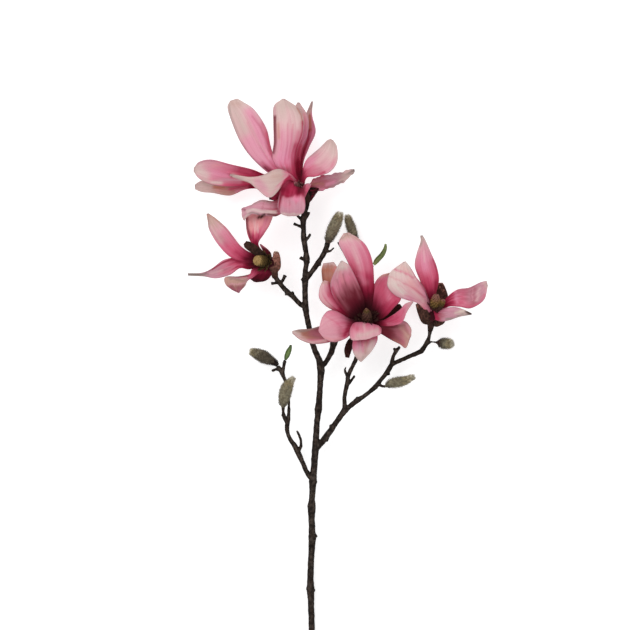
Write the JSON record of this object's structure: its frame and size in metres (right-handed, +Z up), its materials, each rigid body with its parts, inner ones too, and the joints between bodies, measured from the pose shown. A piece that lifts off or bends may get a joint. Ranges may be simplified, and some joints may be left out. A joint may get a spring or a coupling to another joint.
{
  "type": "saucer magnolia branch",
  "caption": "Cut flowering branch lying flat: forked dark twigs with open pink blooms, fuzzy closed buds and small green leaves.",
  "frame": {"origin": "on the surface that the branch lies on, below the middle of its bounding box", "axes": "+Y along the main stem from its cut end to the topmost bloom, +Z up from the surface, +X to the right as seen from above with the topmost bloom away from the viewer"},
  "size_m": [0.3003, 0.5625, 0.0845],
  "materials": {
    "bark": "matte",
    "tepal": "satin",
    "calyx": "matte",
    "heart": "matte",
    "bud": "matte",
    "leaf": "satin"
  },
  "bodies": {
    "root": {"branch": "bark", "top_bloom_tepals": "tepal", "top_bloom_calyx": "calyx", "top_bloom_heart": "heart", "left_bloom_tepals": "tepal", "left_bloom_calyx": "calyx", "left_bloom_heart": "heart", "centre_bloom_tepals": "tepal", "centre_bloom_calyx": "calyx", "centre_bloom_heart": "heart", "right_bloom_tepals": "tepal", "right_bloom_calyx": "calyx", "right_bloom_heart": "heart", "bud_1": "bud", "bud_2": "bud", "bud_3": "bud", "bud_4": "bud", "bud_5": "bud", "bud_6": "bud", "leaf_left": "leaf", "leaf_right": "leaf"}
  },
  "joints": []
}
